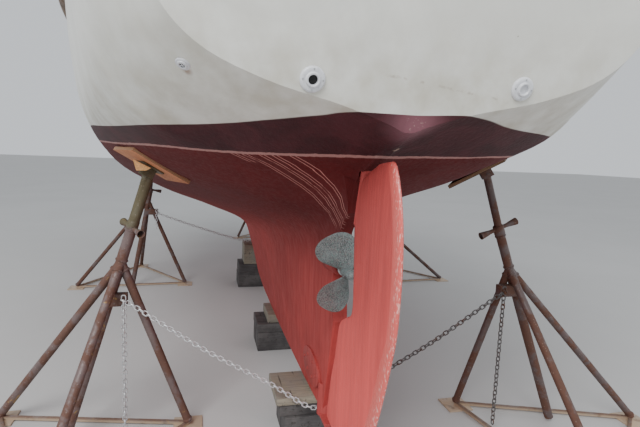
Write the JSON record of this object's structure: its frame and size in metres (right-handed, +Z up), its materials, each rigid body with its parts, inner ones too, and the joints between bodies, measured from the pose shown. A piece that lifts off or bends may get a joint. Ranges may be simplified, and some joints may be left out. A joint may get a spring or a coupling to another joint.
{
  "type": "sailing yacht on jack stands",
  "caption": "Full-keel sailing yacht ashore on keel blocks and jack stands, with mast, boom, rudder and tiller, propeller, hatches and rails.",
  "frame": {"origin": "middle of the floor under the whole object; the boat's centreline lies 0.228 m to port of it", "axes": "+X towards the bow, +Y to port, +Z up"},
  "size_m": [9.2156, 4.214, 13.77],
  "materials": {
    "antifouling_and_gelcoat": "brushed red antifouling below, off-white gelcoat above",
    "deck_gelcoat": "weathered gelcoat",
    "tinted_acrylic": "tinted",
    "teak": "oiled, weathered",
    "antifouling": "brushed red antifouling",
    "bronze": "dull, speckled",
    "white_plastic": "satin",
    "spar_alloy": "anodised",
    "weathered_timber": "grey, rough",
    "plywood": "raw",
    "rusty_steel": "rusted paint",
    "galvanised_steel": "galvanised",
    "engine_iron": "painted",
    "stainless_steel": "polished"
  },
  "bodies": {
    "hull_and_cradle": {"hull": "antifouling_and_gelcoat", "cabin_trunk": "deck_gelcoat", "cabin_window_port": "tinted_acrylic", "cabin_window_starboard": "tinted_acrylic", "deck": "deck_gelcoat", "rub_rail_port": "teak", "toe_rail_port": "teak", "rub_rail_starboard": "teak", "toe_rail_starboard": "teak", "cockpit_coaming": "teak", "winch_port": "stainless_steel", "winch_starboard": "stainless_steel", "washboards": "teak", "engine": "engine_iron", "rudder_heel_fitting": "bronze", "transom_outlet_port": "white_plastic", "transom_outlet_starboard": "white_plastic", "quarter_vent": "white_plastic", "pulpit": "stainless_steel", "pushpit": "stainless_steel", "lifelines_port": "stainless_steel", "lifelines_starboard": "stainless_steel", "mast": "spar_alloy", "spreader_port": "spar_alloy", "spreader_starboard": "spar_alloy", "forestay": "stainless_steel", "backstay": "stainless_steel", "cap_shroud_port": "stainless_steel", "lower_shrouds_port": "stainless_steel", "cap_shroud_starboard": "stainless_steel", "lower_shrouds_starboard": "stainless_steel", "keel_blocks_aft": "weathered_timber", "keel_blocks_middle": "weathered_timber", "keel_blocks_fore": "weathered_timber", "stand_aft_port": "rusty_steel", "stand_pad_aft_port": "plywood", "stand_aft_starboard": "rusty_steel", "stand_pad_aft_starboard": "plywood", "stand_middle_port": "rusty_steel", "stand_pad_middle_port": "plywood", "stand_middle_starboard": "rusty_steel", "stand_pad_middle_starboard": "plywood", "stand_fore": "rusty_steel", "stand_pad_fore": "plywood", "chain_aft": "galvanised_steel", "chain_middle": "galvanised_steel"},
    "rudder_and_tiller": {"rudder": "antifouling", "tiller": "teak"},
    "propeller": {"propeller": "bronze"},
    "boom": {"boom": "spar_alloy", "topping_lift": "stainless_steel"},
    "sliding_hatch": {"sliding_hatch": "deck_gelcoat"},
    "fore_hatch": {"fore_hatch": "tinted_acrylic"},
    "cockpit_lid_port": {"cockpit_lid_port": "teak"},
    "cockpit_lid_starboard": {"cockpit_lid_starboard": "teak"}
  },
  "joints": [
    {"name": "rudder_turn", "type": "hinge", "parent": "hull_and_cradle", "child": "rudder_and_tiller", "pos_m": [-3.988, 0.228, 1.47], "axis": [-0.2723, 0, 0.9622], "range_deg": [-35, 35]},
    {"name": "propeller_turn", "type": "hinge", "parent": "hull_and_cradle", "child": "propeller", "pos_m": [-3.821, 0.228, 1.002], "axis": [1, 0, 0], "continuous": true},
    {"name": "boom_swing", "type": "hinge", "parent": "hull_and_cradle", "child": "boom", "pos_m": [0.632, 0.228, 3.8], "axis": [0, 0, 1], "range_deg": [-62, 62]},
    {"name": "sliding_hatch_slide", "type": "slide", "parent": "hull_and_cradle", "child": "sliding_hatch", "axis": [1, 0, 0], "range_m": [0, 0.62]},
    {"name": "fore_hatch_lift", "type": "hinge", "parent": "hull_and_cradle", "child": "fore_hatch", "pos_m": [1.612, 0.228, 2.961], "axis": [0, 1, 0], "range_deg": [0, 100]},
    {"name": "cockpit_lid_port_lift", "type": "hinge", "parent": "hull_and_cradle", "child": "cockpit_lid_port", "pos_m": [-2.523, 0.878, 2.031], "axis": [-1, 0, 0], "range_deg": [0, 80]},
    {"name": "cockpit_lid_starboard_lift", "type": "hinge", "parent": "hull_and_cradle", "child": "cockpit_lid_starboard", "pos_m": [-2.523, -0.422, 2.031], "axis": [1, 0, 0], "range_deg": [0, 80]}
  ]
}
